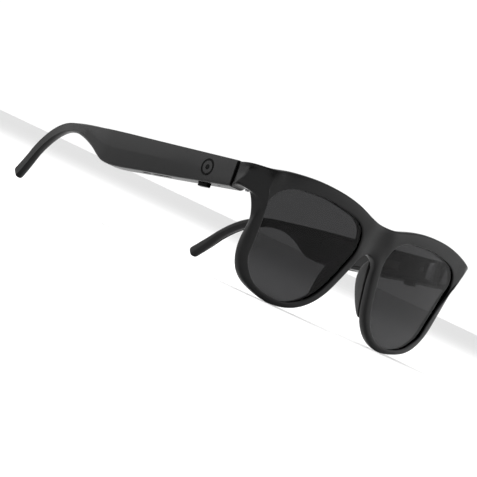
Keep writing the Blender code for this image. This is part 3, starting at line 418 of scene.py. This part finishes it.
def rod_profile(radius, length, round_by=0.0, bore=0.0):
    """Profile of a rod or, with a bore, of a ring, with rounded outer corners."""
    half = length / 2
    if not round_by:
        return [(bore, -half), (radius, -half), (radius, half), (bore, half)]
    arc = [math.radians(a) for a in (0, 22.5, 45, 67.5, 90)]
    upper = [(radius - round_by + round_by * math.cos(a), half - round_by + round_by * math.sin(a))
             for a in arc]
    lower = [(r, -h) for r, h in reversed(upper)]
    return [(bore, -half)] + lower + upper + [(bore, half)]


def closed_curve(points, count):
    """Points evenly spread in number along a smooth closed curve through the given ones."""
    points = [Vector(p) for p in points]
    size = len(points)
    drawn = []
    for i in range(count):
        place = i * size / count
        low = int(place)
        drawn.append(curve_point(points[low - 1], points[low], points[(low + 1) % size],
                                 points[(low + 2) % size], place - low))
    return drawn


def curve_point(a, b, c, d, t):
    """Catmull-Rom curve between b and c."""
    return 0.5 * ((2 * b) + (c - a) * t + (2 * a - 5 * b + 4 * c - d) * t * t
                  + (3 * b - a - 3 * c + d) * t ** 3)


def open_curve(points, splits):
    points = [Vector(p) for p in points]
    ends = [2 * points[0] - points[1]] + points + [2 * points[-1] - points[-2]]
    drawn = []
    for i in range(len(points) - 1):
        drawn += [curve_point(*ends[i:i + 4], k / splits) for k in range(splits)]
    return drawn + [points[-1]]


def control_points(points, closed):
    """Control points whose smooth subdivision passes through the given points."""
    points = np.array(points, float)
    count = len(points)
    weights = np.eye(count)
    for i in range(0 if closed else 1, count if closed else count - 1):
        weights[i, i] = 4 / 6
        weights[i, (i + 1) % count] = 1 / 6
        weights[i, i - 1] = 1 / 6
    return np.linalg.solve(weights, points)


def grown(outline, distance):
    """A closed outline moved outward by a distance."""
    points = [Vector(p) for p in outline]
    centre = sum(points, Vector((0, 0))) / len(points)
    moved = []
    for i, point in enumerate(points):
        along = points[(i + 1) % len(points)] - points[i - 1]
        outward = Vector((along.y, -along.x)).normalized()
        if outward.dot(point - centre) < 0:
            outward.negate()
        moved.append(tuple(point + outward * distance))
    return moved


def on_front(outline, depth):
    return [(x, front_y(x, z) + depth, z) for x, z in outline]


# Front

class OuterRow:
    """One row of the front's outer wall: its depth, how far it lies inside the outline, and
    whether it belongs to the rear, which leaves room for the hinge."""

    def __init__(self, depth, inset, rear):
        self.depth, self.inset, self.rear = depth, inset, rear
        self.outline = grown(OUTLINE, -inset - (REAR_INSET if rear else 0.0))
        if rear:
            for i in (END_UPPER, END_MIDDLE, END_LOWER):
                self.outline[i] = (REAR_END_X, self.outline[i][1])

    def chains(self):
        """Upper and lower chain from the centre plane to the seam, and the middle points."""
        inset, depth = self.inset, self.depth
        if self.rear:
            corner_x = REAR_CORNER_X + inset * CORNER_STEP
            seam_x = INNER_X + inset * REAR_SEAM_STEP
        else:
            corner_x, seam_x = CORNER_X - inset * CORNER_STEP, OUTER_X - inset
        back = REAR_CORNER_BACK if self.rear else 0.0
        shrink = (-inset, 0.0, inset)
        corner = [(corner_x, y + back, z + s)
                  for y, z, s in zip(CORNER_YS, CORNER_HEIGHTS, shrink)]
        seam = [(seam_x, SEAM_Y, z + s) for z, s in zip(SEAM_HEIGHTS, shrink)]
        y_top = front_y(0, BRIDGE_TOP) + BRIDGE_SET_BACK + depth
        y_low = front_y(0, BRIDGE_BOTTOM) + BRIDGE_SET_BACK + depth
        outline = on_front(self.outline, depth)
        upper = [(0, y_top, BRIDGE_TOP - inset)] + outline[BRIDGE_UPPER:END_UPPER + 1]
        upper += [corner[0], seam[0]]
        lower = [seam[2], corner[2]] + outline[END_LOWER:BRIDGE_LOWER + 1]
        lower += [(0, y_low, BRIDGE_BOTTOM + inset)]
        return control_points(upper, False), control_points(lower, False), corner[1], seam[1]


class FrontCage:
    """Coarse cage of the front's left half, smoothed by subdivision."""

    def __init__(self):
        self.bm = bmesh.new()
        self.crease = self.bm.edges.layers.float.new("crease_edge")
        self.count = len(OPENING)

    def verts(self, points):
        return [self.bm.verts.new(Vector(p)) for p in points]

    def face(self, *corners):
        self.bm.faces.new(corners)

    def strip(self, a, b):
        for i in range(len(a) - 1):
            self.face(a[i], a[i + 1], b[i + 1], b[i])

    def ring_strip(self, a, b):
        self.strip(a + a[:1], b + b[:1])

    def sharpen(self, path, amount):
        for a, b in zip(path, path[1:]):
            edge = self.bm.edges.get((a, b))
            if edge:
                edge[self.crease] = amount

    def lip(self, depth, out=0.0):
        """A ring round the lens opening, moved outward into the rim by a distance."""
        outline = grown(OPENING, out) if out else OPENING
        return self.verts(control_points(on_front(outline, depth), True))

    def face_row(self, row):
        """A whole front or rear row: its ring round the lens, and its rows drawn out."""
        upper, lower, corner, seam = row.chains()
        upper, lower = self.verts(upper), self.verts(lower)
        outline = on_front(row.outline, row.depth)
        side, end = self.verts([outline[BRIDGE_SIDE], outline[END_MIDDLE]])
        side.co.y += BRIDGE_SIDE_SET_BACK
        corner, seam = self.verts([corner, seam])
        centre_y = front_y(0, BRIDGE_MIDDLE) + BRIDGE_SET_BACK + row.depth
        centre = self.verts([(0, centre_y, BRIDGE_MIDDLE)])[0]
        ring = [side] + upper[1:-2] + [end] + lower[2:-1]
        self.strip([ring[BRIDGE_LOWER], side, ring[BRIDGE_UPPER]], [lower[-1], centre, upper[0]])
        self.strip([ring[END_UPPER], end, ring[END_LOWER]], [upper[-2], corner, lower[1]])
        self.strip([upper[-2], corner, lower[1]], [upper[-1], seam, lower[0]])
        if not row.rear:
            self.sharpen([ring[END_UPPER], end, ring[END_LOWER]], BEND_CREASE)
            self.sharpen([upper[-2], corner, lower[1]], BEND_CREASE)
        return {"ring": ring, "upper": upper, "lower": lower, "seam": seam}

    def build(self):
        depth = FRONT_DEPTH
        front = self.face_row(OuterRow(0.0, EDGE_ROUND, False))
        rear = self.face_row(OuterRow(depth, REAR_EDGE_ROUND, True))
        walls = [front]
        for row in (OuterRow(EDGE_ROUND, 0.0, False),
                    OuterRow(depth - REAR_EDGE_ROUND, 0.0, True)):
            upper, lower = row.chains()[:2]
            walls.append({"upper": self.verts(upper), "lower": self.verts(lower)})
        walls.append(rear)
        for a, b in zip(walls, walls[1:]):
            self.strip(a["upper"], b["upper"])
            self.strip(a["lower"], b["lower"])
        self.close_seam(walls)
        round_by = LIP_ROUND
        lips = [self.lip(0.0, round_by), self.lip(round_by), self.lip(GROOVE_FRONT),
                self.lip(GROOVE_FRONT, GROOVE_DEEP), self.lip(GROOVE_BACK, GROOVE_DEEP),
                self.lip(GROOVE_BACK), self.lip(depth - round_by), self.lip(depth, round_by)]
        self.ring_strip(front["ring"], lips[0])
        for a, b in zip(lips, lips[1:]):
            self.ring_strip(a, b)
        self.ring_strip(lips[-1], rear["ring"])
        for ring in lips[2:6]:
            self.sharpen(ring + ring[:1], 1.0)
        for ring in lips[:2] + lips[6:]:
            self.sharpen(ring + ring[:1], LIP_CREASE)
        return self.bm

    def close_seam(self, walls):
        front, rear = walls[0], walls[-1]
        top = [w["upper"][-1] for w in walls]
        low = [w["lower"][0] for w in walls]
        self.face(*top)
        self.face(*reversed(low))
        self.face(top[0], top[3], rear["seam"], front["seam"])
        self.face(front["seam"], rear["seam"], low[3], low[0])
        self.sharpen(top, SEAM_CREASE)
        self.sharpen(low, SEAM_CREASE)
        self.sharpen([top[0], front["seam"], low[0]], SEAM_CREASE)
        self.sharpen([top[3], rear["seam"], low[3]], SEAM_CREASE)


def build_front():
    shell = new_object("front_shell", FrontCage().build())
    mirror = shell.modifiers.new("other_half", "MIRROR")
    mirror.use_clip = True
    mirror.merge_threshold = 0.05
    smooth = shell.modifiers.new("smooth", "SUBSURF")
    smooth.levels = SMOOTHING
    smooth.render_levels = SMOOTHING
    tools = []
    for label, side in SIDES:
        tools.append(turned(f"hole_{label}", rod_profile(SCREW_RADIUS + GAP, SCREW_HOLE_DEEP),
                            (side * SCREW_HOLE_X, HINGE_Y - LEAF_MIDDLE, HINGE_Z), ALONG_X, 24))
    combine(shell, "DIFFERENCE", *tools)
    settle(shell)
    finish_piece(shell, "matte_black", "front", ["front_frame"])


def build_lens(label, side):
    """A curved lens with a softened rim that sits in the groove."""
    edge = closed_curve(grown(OPENING, GROOVE_DEEP - GAP), LENS_POINTS)
    centre = sum(edge, Vector((0, 0))) / len(edge)
    soften = LENS_EDGE_ROUND
    front, back = GROOVE_FRONT + GAP, GROOVE_FRONT + GAP + LENS_THICK
    steps = [k / LENS_RINGS for k in range(1, LENS_RINGS + 1)]
    rows = [(share, 0.0, front) for share in steps[:-1]]
    rows += [(1.0, -soften, front), (1.0, 0.0, front + soften), (1.0, 0.0, back - soften),
             (1.0, -soften, back)]
    rows += [(share, 0.0, back) for share in reversed(steps[:-1])]
    bm = bmesh.new()
    rings = []
    for share, inset, depth in rows:
        ring = []
        for point in edge:
            away = point - centre
            x, z = centre + away * share + away.normalized() * inset
            ring.append(bm.verts.new((side * x, front_y(x, z) + depth, z)))
        rings.append(ring)
    for a, b in zip(rings, rings[1:]):
        for i in range(len(edge)):
            j = (i + 1) % len(edge)
            bm.faces.new((a[i], a[j], b[j], b[i]))
    for ring, depth in ((rings[0], front), (rings[-1], back)):
        hub = bm.verts.new((side * centre.x, front_y(*centre) + depth, centre.y))
        for i in range(len(edge)):
            bm.faces.new((hub, ring[i], ring[(i + 1) % len(edge)]))
    lens = settle(new_object(f"lens_{label}_polished", bm))
    finish_piece(lens, "tinted_lens", "front", [f"lens_{label}"])


def outline_at(outline, position):
    low = int(math.floor(position))
    a, b = Vector(outline[low]), Vector(outline[(low + 1) % len(outline)])
    return a.lerp(b, position - low)


def build_nose_pad(label, side):
    bm = bmesh.new()
    crease = bm.edges.layers.float.new("crease_edge")
    rows = []
    for position, height, flare in PAD_STATIONS:
        nasal = outline_at(OUTLINE, position)
        lens = outline_at(OPENING, position)
        nasal = nasal.lerp(lens, PAD_NASAL_IN)
        lens = lens.lerp(nasal, PAD_LENS_IN)
        row = []
        for point, shift, rise in ((nasal, 0, 0), (lens, 0, 0), (lens, flare * 0.3, height * 0.8),
                                   (nasal, flare, height + 0.4)):
            y = front_y(point.x, point.y) + FRONT_DEPTH + GAP + rise
            row.append(bm.verts.new((side * (point.x + shift), y, point.y)))
        rows.append(row)
    for a, b in zip(rows, rows[1:]):
        for i in range(4):
            bm.faces.new((a[i], a[(i + 1) % 4], b[(i + 1) % 4], b[i]))
    bm.faces.new(rows[0])
    bm.faces.new(rows[-1])
    for a, b in zip(rows, rows[1:]):
        for i in (0, 1):
            bm.edges.get((a[i], b[i]))[crease] = PAD_CREASE
    pad = new_object(f"nose_pad_{label}_moulded", bm)
    smooth = pad.modifiers.new("smooth", "SUBSURF")
    smooth.levels = SMOOTHING
    smooth.render_levels = SMOOTHING
    settle(pad)
    finish_piece(pad, "rubber", "front", [f"nose_pad_{label}"])


# Temple

def hook_inward(y):
    past = y - HOOK_BENDS_FROM
    if past < -HOOK_EASE:
        return 0.0
    if past < HOOK_EASE:
        return HOOK_SLOPE * (past + HOOK_EASE) ** 2 / (4 * HOOK_EASE)
    return HOOK_SLOPE * past


def corner_arc(centre, radius, start):
    """Points of a quarter-circle corner, counted on from an angle in degrees."""
    points = []
    for i in range(CORNER_STEPS + 1):
        angle = math.radians(start + 90 * i / CORNER_STEPS)
        points.append((centre[0] + radius * math.cos(angle), centre[1] + radius * math.sin(angle)))
    return points


def temple_section(top, bottom):
    """The temple's section between two edge points, as distances outward and up, round from the
    upper outer corner over the inner side and back up the outer face."""
    height = (top - bottom).length
    hook = smoothstep(*HOOK_NARROWS, top.x)
    half = mix(TEMPLE_THICK, HOOK_THICK, hook) / 2
    radius = mix(TEMPLE_CORNER, min(half, height / 2) * HOOK_ROUND, hook)
    lean = LOWER_FACET_LEAN * smoothstep(*LEAN_BEGINS, top.x) * (1 - hook)
    clear = smoothstep(*CREASE_BEGINS, top.x) * (1 - hook)
    crease = height * CREASE_HEIGHT
    points = corner_arc((half - radius, height - radius), radius, 0)
    points += corner_arc((-half + radius, height - radius), radius, 90)
    points += corner_arc((-half + radius, radius), radius, 180)
    points += corner_arc((half - lean - radius, radius), radius, 270)
    soft = mix(CREASE_SOFT, CREASE_TIGHT, clear)
    points += [(half - lean * 0.5 * soft / crease, crease - soft), (half, crease + soft)]
    return points


def temple_rows(side):
    """Rows of points along the temple, with the rounded end of its hook."""
    tops = open_curve(TEMPLE_TOP, SPLITS)
    bottoms = open_curve(TEMPLE_BOTTOM, SPLITS)
    rows = []
    for top, bottom in zip(tops, bottoms):
        up = (top - bottom).normalized()
        centre_x = OUTER_X - TEMPLE_THICK / 2 - hook_inward((top.x + bottom.x) / 2)
        rows.append([Vector((side * (centre_x + out), bottom.x + up.x * rise,
                             bottom.y + up.y * rise))
                     for out, rise in temple_section(top, bottom)])
    last, before = rows[-1], rows[-2]
    centre = sum(last, Vector()) / len(last)
    along = (centre - sum(before, Vector()) / len(before)).normalized()
    for angle in TIP_ANGLES:
        turn = math.radians(angle)
        middle = centre + along * TIP_CAP * math.sin(turn)
        rows.append([middle + (point - centre) * math.cos(turn) for point in last])
    return rows


def loft(name, rows):
    bm = bmesh.new()
    drawn = [[bm.verts.new(point) for point in row] for row in rows]
    for a, b in zip(drawn, drawn[1:]):
        for i in range(len(a)):
            j = (i + 1) % len(a)
            bm.faces.new((a[i], a[j], b[j], b[i]))
    bm.faces.new(drawn[0])
    bm.faces.new(drawn[-1])
    return new_object(name, bm)


def bay_tool(name, side, grow, deep):
    """The bay's space or its rebate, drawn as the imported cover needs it."""
    front, rear, top = BAY_FRONT - grow, BAY_REAR + grow, BAY_TOP + grow
    rise = WALL + COVER_LAP - grow
    outline = [(front, underside_z(front) + rise), (rear, underside_z(rear) + rise),
               (rear, top), (front, top)]
    bm = bmesh.new()
    near, far = ([bm.verts.new((side * x, y, z)) for y, z in outline]
                 for x in (INNER_X - 1.0, INNER_X + deep))
    bm.faces.new(near)
    bm.faces.new(far)
    for i in range(4):
        bm.faces.new((near[i - 1], near[i], far[i], far[i - 1]))
    return new_object(name, bm)


def capsule_tool(name, width, length, depth, centre, rotation):
    """A slot with round ends, cut straight up."""
    bm = bmesh.new()
    radius = width / 2
    outline = []
    for end, start in ((length / 2 - radius, 0), (-length / 2 + radius, 180)):
        for i in range(9):
            angle = math.radians(start + 22.5 * i)
            outline.append((radius * math.cos(angle), end + radius * math.sin(angle)))
    low = [bm.verts.new((x, y, -depth / 2)) for x, y in outline]
    high = [bm.verts.new((x, y, depth / 2)) for x, y in outline]
    bm.faces.new(low)
    bm.faces.new(high)
    for i in range(len(outline)):
        bm.faces.new((low[i - 1], low[i], high[i], high[i - 1]))
    return new_object(name, placed(bm, centre, rotation))


def chamfer_end(rows, amount=0.22):
    """Soften the edge of a loft's first row."""
    first = rows[0]
    centre = sum(first, Vector()) / len(first)
    inner = [point + (centre - point).normalized() * amount for point in first]
    back = [point + Vector((0, amount, 0)) for point in first]
    return [inner, back] + rows[1:]


def build_temple(label, side):
    body = f"temple_{label}"
    shell = loft(f"temple_shell_{label}", chamfer_end(temple_rows(side)))
    mid_x = side * BAY_MIDDLE_X
    wide, long = BUTTON_SIZE
    skin = underside_z(BUTTON_Y)
    ledge = skin + BUTTON_LEDGE
    tools = [bay_tool("bay", side, 0.0, BAY_OUTER_X - INNER_X),
             bay_tool("rebate", side, COVER_LAP, COVER_THICK + SEAL_THICK + GAP),
             box_tool("guide", (wide + 2 * GAP, long + 2 * GAP, 8.0), (mid_x, BUTTON_Y, skin),
                      (SLOPE, 0, 0), 0.5),
             box_tool("room", (CELL_THICK + GAP, long + 2.4, 2.0), (mid_x, BUTTON_Y, ledge + 1.0),
                      (SLOPE, 0, 0)),
             turned("port", rod_profile(MICROPHONE_PORT, 5.0),
                    (mid_x, MICROPHONE_Y, underside_z(MICROPHONE_Y)), steps=24),
             turned("screw_hole", rod_profile(SCREW_RADIUS + GAP, SCREW_HOLE_DEEP),
                    (side * SCREW_HOLE_X, HINGE_Y + LEAF_MIDDLE, HINGE_Z), ALONG_X, 24),
             turned("mark_groove", rod_profile(MARK_RADIUS + MARK_ROOM, 2 * MARK_DEEP,
                                               bore=MARK_RADIUS - MARK_STROKE - MARK_ROOM),
                    (side * OUTER_X, MARK_Y, MARK_Z), ALONG_X, 96),
             turned("mark_pit", rod_profile(DOT_RADIUS + MARK_ROOM, 2 * MARK_DEEP),
                    (side * OUTER_X, MARK_Y, MARK_Z), ALONG_X, 48)]
    for start, end in SPEAKER_SLOTS:
        centre = (start + end) / 2
        tools.append(capsule_tool("slot", SLOT_WIDTH, end - start, 6.0,
                                  (mid_x, centre, underside_z(centre)), (SLOPE, 0, 0)))
    combine(shell, "DIFFERENCE", *tools)
    settle(shell)
    finish_piece(shell, "matte_black", body, [f"temple_housing_{label}"])
    build_mark(label, side, body)
    build_button(label, side)


def build_mark(label, side, body):
    place = (side * (OUTER_X - MARK_DEEP / 2 - 0.05), MARK_Y, MARK_Z)
    thick = MARK_DEEP - 0.2
    inner = MARK_RADIUS - MARK_STROKE
    ring = settle(turned(f"touch_ring_{label}_polished",
                         rod_profile(MARK_RADIUS, thick, 0.08, inner), place, ALONG_X, 96))
    finish_piece(ring, "gloss_black", body, [f"touch_ring_{label}"])
    dot = settle(turned(f"touch_dot_{label}_polished", rod_profile(DOT_RADIUS, thick, 0.08), place,
                        ALONG_X, 48))
    finish_piece(dot, "gloss_black", body, [f"touch_dot_{label}"])


def build_button(label, side):
    wide, long = BUTTON_SIZE
    skin = underside_z(BUTTON_Y)
    flange_middle = skin + BUTTON_LEDGE + GAP + BUTTON_FLANGE / 2
    low = skin - BUTTON_PROUD
    place = (side * BAY_MIDDLE_X, BUTTON_Y, (flange_middle + low) / 2)
    cap = box_tool(f"button_{label}_cap", (wide, long, flange_middle - low), place, (SLOPE, 0, 0),
                   0.35)
    flange = box_tool("flange", (CELL_THICK - GAP, long + 1.4, BUTTON_FLANGE),
                      (side * BAY_MIDDLE_X, BUTTON_Y, flange_middle), (SLOPE, 0, 0), 0.1)
    combine(cap, "UNION", flange)
    settle(cap)
    finish_piece(cap, "gloss_black", f"button_cap_{label}", [f"button_{label}"])


# Hinge

def on_axis(side, along):
    """A place on the leaning hinge axis, and the turn that lines a piece up with it."""
    lean = -side * HINGE_LEAN
    middle = Vector((side * HINGE_X, HINGE_Y, HINGE_Z))
    return middle + Vector((math.sin(lean), 0, math.cos(lean))) * along, (0, lean, 0)


def build_leaf(name, node, side, body, direction, barrels):
    leaf_x = side * (INNER_X - GAP - LEAF_THICK / 2)
    middle_y = HINGE_Y + direction * LEAF_MIDDLE
    leaf = box_tool(name, (LEAF_THICK, LEAF_LENGTH, HINGE_STACK), (leaf_x, middle_y, HINGE_Z),
                    rounding=0.12)
    tools = []
    for along, length in barrels:
        centre, turn = on_axis(side, along)
        tools.append(turned("barrel", rod_profile(BARREL_RADIUS, length, 0.15), centre, turn, 48))
        tools.append(box_tool("web", (LEAF_THICK, LEAF_WEB, length),
                              (leaf_x, HINGE_Y + direction * LEAF_WEB / 2, centre.z)))
    combine(leaf, "UNION", *tools)
    centre, turn = on_axis(side, 0.0)
    combine(leaf, "DIFFERENCE",
            turned("bore", rod_profile(BARREL_BORE, 20.0), centre, turn, 48),
            turned("hole", rod_profile(SCREW_RADIUS + 0.25, 8.0), (leaf_x, middle_y, HINGE_Z),
                   ALONG_X, 32))
    settle(leaf)
    finish_piece(leaf, "steel", body, [node])


def build_screw(name, node, side, body, direction):
    """A slotted screw through a leaf into the wall behind it."""
    y = HINGE_Y + direction * LEAF_MIDDLE
    head_x = side * (INNER_X - GAP * 1.5 - LEAF_THICK - SCREW_HEAD_THICK / 2)
    screw = turned(name, rod_profile(SCREW_HEAD_RADIUS, SCREW_HEAD_THICK, 0.12),
                   (head_x, y, HINGE_Z), ALONG_X, 48)
    shank_x = head_x + side * SCREW_LENGTH / 2
    combine(screw, "UNION", turned("shank", rod_profile(SCREW_RADIUS, SCREW_LENGTH, 0.1),
                                   (shank_x, y, HINGE_Z), ALONG_X, 32))
    combine(screw, "DIFFERENCE", box_tool("slot", (0.4, 3.0, 0.3),
                                          (head_x - side * 0.25, y, HINGE_Z)))
    settle(screw)
    finish_piece(screw, "steel", body, [node])


def build_pin(label, side):
    middle, turn = on_axis(side, 0.0)
    pin = turned(f"hinge_pin_{label}_turned", rod_profile(PIN_RADIUS, HINGE_STACK + 4 * GAP, 0.15),
                 middle, turn, 32)
    place, turn = on_axis(side, HINGE_STACK / 2 + GAP + PIN_HEAD_THICK / 2)
    head = turned("head", rod_profile(PIN_HEAD_RADIUS, PIN_HEAD_THICK, 0.25), place, turn, 48)
    combine(pin, "UNION", head)
    settle(pin)
    finish_piece(pin, "steel", "front", [f"hinge_pin_{label}"])


def build_hinge(label, side):
    offset = MIDDLE_BARREL / 2 + GAP + SIDE_BARREL / 2
    build_leaf(f"hinge_leaf_front_{label}", f"hinge_front_leaf_{label}", side, "front", -1,
               [(0.0, MIDDLE_BARREL)])
    build_leaf(f"hinge_leaf_temple_{label}", f"hinge_temple_leaf_{label}", side,
               f"temple_{label}", 1, [(-offset, SIDE_BARREL), (offset, SIDE_BARREL)])
    build_screw(f"hinge_screw_front_{label}", f"hinge_front_screw_{label}", side, "front", -1)
    build_screw(f"hinge_screw_temple_{label}", f"hinge_temple_screw_{label}", side,
                f"temple_{label}", 1)
    build_pin(label, side)


# Carried-over pieces

def dress_packed_nodes():
    """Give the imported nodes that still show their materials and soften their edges."""
    slots = {entry["node"]: entry["material_slot"] for entry in frame["record"]["subparts"]}
    for name, node in NODES.items():
        if node.hide_render:
            continue
        node.data.materials.clear()
        node.data.materials.append(LOOKS[slots[name]])
        bevel = node.modifiers.new("soft_edges", "BEVEL")
        bevel.width = 0.12 * MM
        bevel.segments = 2
        bevel.limit_method = "ANGLE"
        bevel.angle_limit = math.radians(40)


# Studio

def build_floor():
    bm = bmesh.new()
    bmesh.ops.create_grid(bm, x_segments=1, y_segments=1, size=30.0)
    floor = new_object("studio_floor", bm)
    look = Shading("pale_floor", (0.94, 0.94, 0.94), 0.9, specular=0.0)
    look.tint(look.noise(3.0), (0.93, 0.93, 0.93), (0.95, 0.95, 0.95))
    floor.data.materials.append(look.material)


def build_world():
    """A white room that is dark around the camera, as behind a studio camera."""
    world = bpy.data.worlds.new("studio")
    world.use_nodes = True
    bpy.context.scene.world = world
    nodes, links = world.node_tree.nodes, world.node_tree.links
    background = nodes["Background"]
    place = nodes.new("ShaderNodeTexCoord")
    dot = nodes.new("ShaderNodeVectorMath")
    dot.operation = "DOT_PRODUCT"
    dot.inputs[1].default_value = camera_direction()
    links.new(place.outputs["Generated"], dot.inputs[0])
    shade = nodes.new("ShaderNodeValToRGB")
    shade.color_ramp.interpolation = "EASE"
    ramp = shade.color_ramp.elements
    for place_on_ramp, level in WORLD_SHADES[1:-1]:
        ramp.new(place_on_ramp)
    for element, (place_on_ramp, level) in zip(ramp, WORLD_SHADES):
        element.position = place_on_ramp
        element.color = (level, level, level, 1.0)
    links.new(dot.outputs["Value"], shade.inputs["Fac"])
    links.new(shade.outputs["Color"], background.inputs["Color"])
    background.inputs["Strength"].default_value = WORLD_STRENGTH


def add_light(name, place, aim, size, power):
    data = bpy.data.lights.new(name, "AREA")
    data.shape = "RECTANGLE"
    data.size, data.size_y = size
    data.energy = power
    light = bpy.data.objects.new(name, data)
    bpy.context.scene.collection.objects.link(light)
    light.location = place
    light.rotation_euler = (Vector(aim) - Vector(place)).to_track_quat("-Z", "Y").to_euler()
    light.visible_camera = False


def level_axes():
    """The level drawing's direction to the camera, and the picture's right and up."""
    azimuth, height, roll = CAMERA_AZIMUTH, CAMERA_HEIGHT, CAMERA_ROLL
    toward = Vector((math.sin(azimuth) * math.cos(height), -math.cos(azimuth) * math.cos(height),
                     math.sin(height)))
    right = Vector((math.cos(azimuth), math.sin(azimuth), 0))
    up = toward.cross(right)
    return (toward, right * math.cos(roll) + up * math.sin(roll),
            -right * math.sin(roll) + up * math.cos(roll))


def camera_direction():
    return TURN.to_3x3() @ level_axes()[0]


def build_camera():
    toward, right, up = level_axes()
    forward = (-toward + right * AIM_RIGHT + up * AIM_UP).normalized()
    right = (right - forward * right.dot(forward)).normalized()
    up = right.cross(forward)
    turn = Matrix((right, up, -forward)).transposed()
    data = bpy.data.cameras.new("studio_camera")
    data.lens = CAMERA_LENS
    data.clip_end = CAMERA_CLIP
    camera = bpy.data.objects.new("studio_camera", data)
    bpy.context.scene.collection.objects.link(camera)
    camera.matrix_world = (Matrix.Translation(TO_ROW @ (LOOK_FROM + toward * CAMERA_DISTANCE))
                           @ (TURN.to_3x3() @ turn).to_4x4())
    bpy.context.scene.camera = camera
    bpy.context.scene.view_settings.view_transform = "Standard"


def main():
    build_front()
    for label, side in SIDES:
        build_lens(label, side)
        build_nose_pad(label, side)
        build_temple(label, side)
        build_hinge(label, side)
    dress_packed_nodes()
    build_floor()
    build_world()
    add_light("overhead_softbox", (0.2, 0.1, 1.6), (0, 0, 0), (1.6, 1.6), 22.0)
    add_light("side_softbox", (-0.62, 0.62, 0.18), (-0.07, 0.0, 0.03), (0.7, 0.35), 1.3)
    add_light("front_softbox", (0.62, -0.66, 0.18), (0.0, -0.07, 0.03), (0.7, 0.35), 1.3)
    build_camera()


main()
